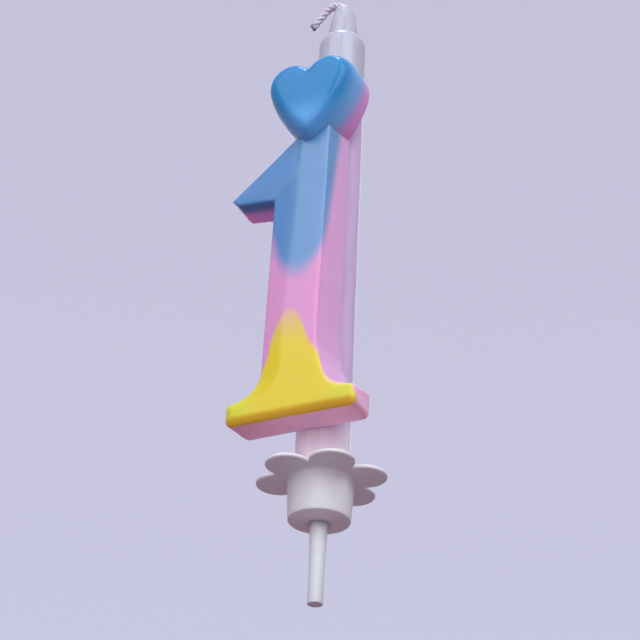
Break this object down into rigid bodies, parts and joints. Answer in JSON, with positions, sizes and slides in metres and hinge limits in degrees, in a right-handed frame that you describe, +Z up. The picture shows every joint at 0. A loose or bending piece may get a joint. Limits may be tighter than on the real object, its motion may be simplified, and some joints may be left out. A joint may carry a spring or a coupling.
{
  "type": "number birthday candle",
  "caption": "Wax numeral one topped by a heart, on a slim white taper that stands in a flower-shaped plastic holder with a cake pick.",
  "frame": {"origin": "on the taper's axis, at the flat underside of the holder's cup, where it rests on the icing", "axes": "+Z up the taper towards the wick; the numeral's front faces -Y; +X to the right seen from the front"},
  "size_m": [0.0247, 0.023, 0.1203],
  "materials": {
    "pick_plastic": "satin moulded polystyrene",
    "holder_plastic": "satin moulded polystyrene",
    "taper_wax": "smooth translucent paraffin wax",
    "wick_cotton": "braided waxed cotton",
    "numeral_wax": "cast paraffin wax, pink with a blue and a yellow pour on the front",
    "heart_wax": "cast paraffin wax, blue in front and pink behind",
    "seam_wax": "melted wax bead"
  },
  "bodies": {
    "pick": {"pick": "pick_plastic"},
    "holder": {"flower_holder": "holder_plastic"},
    "candle": {"taper": "taper_wax", "wick": "wick_cotton", "numeral": "numeral_wax", "heart": "heart_wax", "wax_seam": "seam_wax"}
  },
  "joints": [
    {"name": "holder_turn", "type": "hinge", "parent": "pick", "child": "holder", "pos_m": [0, 0, 0], "axis": [0, 0, 1], "continuous": true},
    {"name": "candle_lift", "type": "slide", "parent": "holder", "child": "candle", "axis": [0, 0, 1], "range_m": [0, 0.012]}
  ]
}
